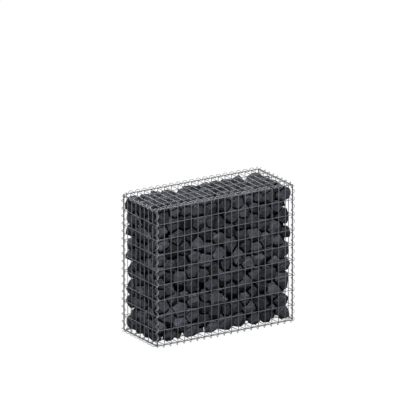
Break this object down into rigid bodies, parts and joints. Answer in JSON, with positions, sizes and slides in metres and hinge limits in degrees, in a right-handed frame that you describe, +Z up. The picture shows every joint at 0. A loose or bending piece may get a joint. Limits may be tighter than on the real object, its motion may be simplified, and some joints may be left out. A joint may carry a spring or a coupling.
{
  "type": "stone-filled gabion",
  "caption": "Free-standing gabion: a tall box of welded wire mesh panels, laced along every edge by wire spirals and filled with broken dark stone.",
  "frame": {"origin": "on the ground under the middle of the basket, level with the lowest turns of the base spirals", "axes": "+X along the wall, +Y from the front face to the back face, +Z up"},
  "size_m": [1.0424, 0.426, 0.9337],
  "materials": {
    "panel_mesh": "galvanised",
    "spiral_binder": "galvanised",
    "stone_fill": "broken, matt"
  },
  "bodies": {
    "root": {"front_panel": "panel_mesh", "back_panel": "panel_mesh", "left_end_panel": "panel_mesh", "right_end_panel": "panel_mesh", "base_panel": "panel_mesh", "lid_panel": "panel_mesh", "base_front_spiral": "spiral_binder", "base_back_spiral": "spiral_binder", "base_left_spiral": "spiral_binder", "base_right_spiral": "spiral_binder", "lid_front_spiral": "spiral_binder", "lid_back_spiral": "spiral_binder", "lid_left_spiral": "spiral_binder", "lid_right_spiral": "spiral_binder", "front_left_corner_spiral": "spiral_binder", "front_right_corner_spiral": "spiral_binder", "back_left_corner_spiral": "spiral_binder", "back_right_corner_spiral": "spiral_binder", "stone_course_1": "stone_fill", "stone_course_2": "stone_fill", "stone_course_3": "stone_fill", "stone_course_4": "stone_fill", "stone_course_5": "stone_fill", "stone_course_6": "stone_fill", "stone_course_7": "stone_fill", "stone_course_8": "stone_fill", "stone_course_9": "stone_fill"}
  },
  "joints": []
}
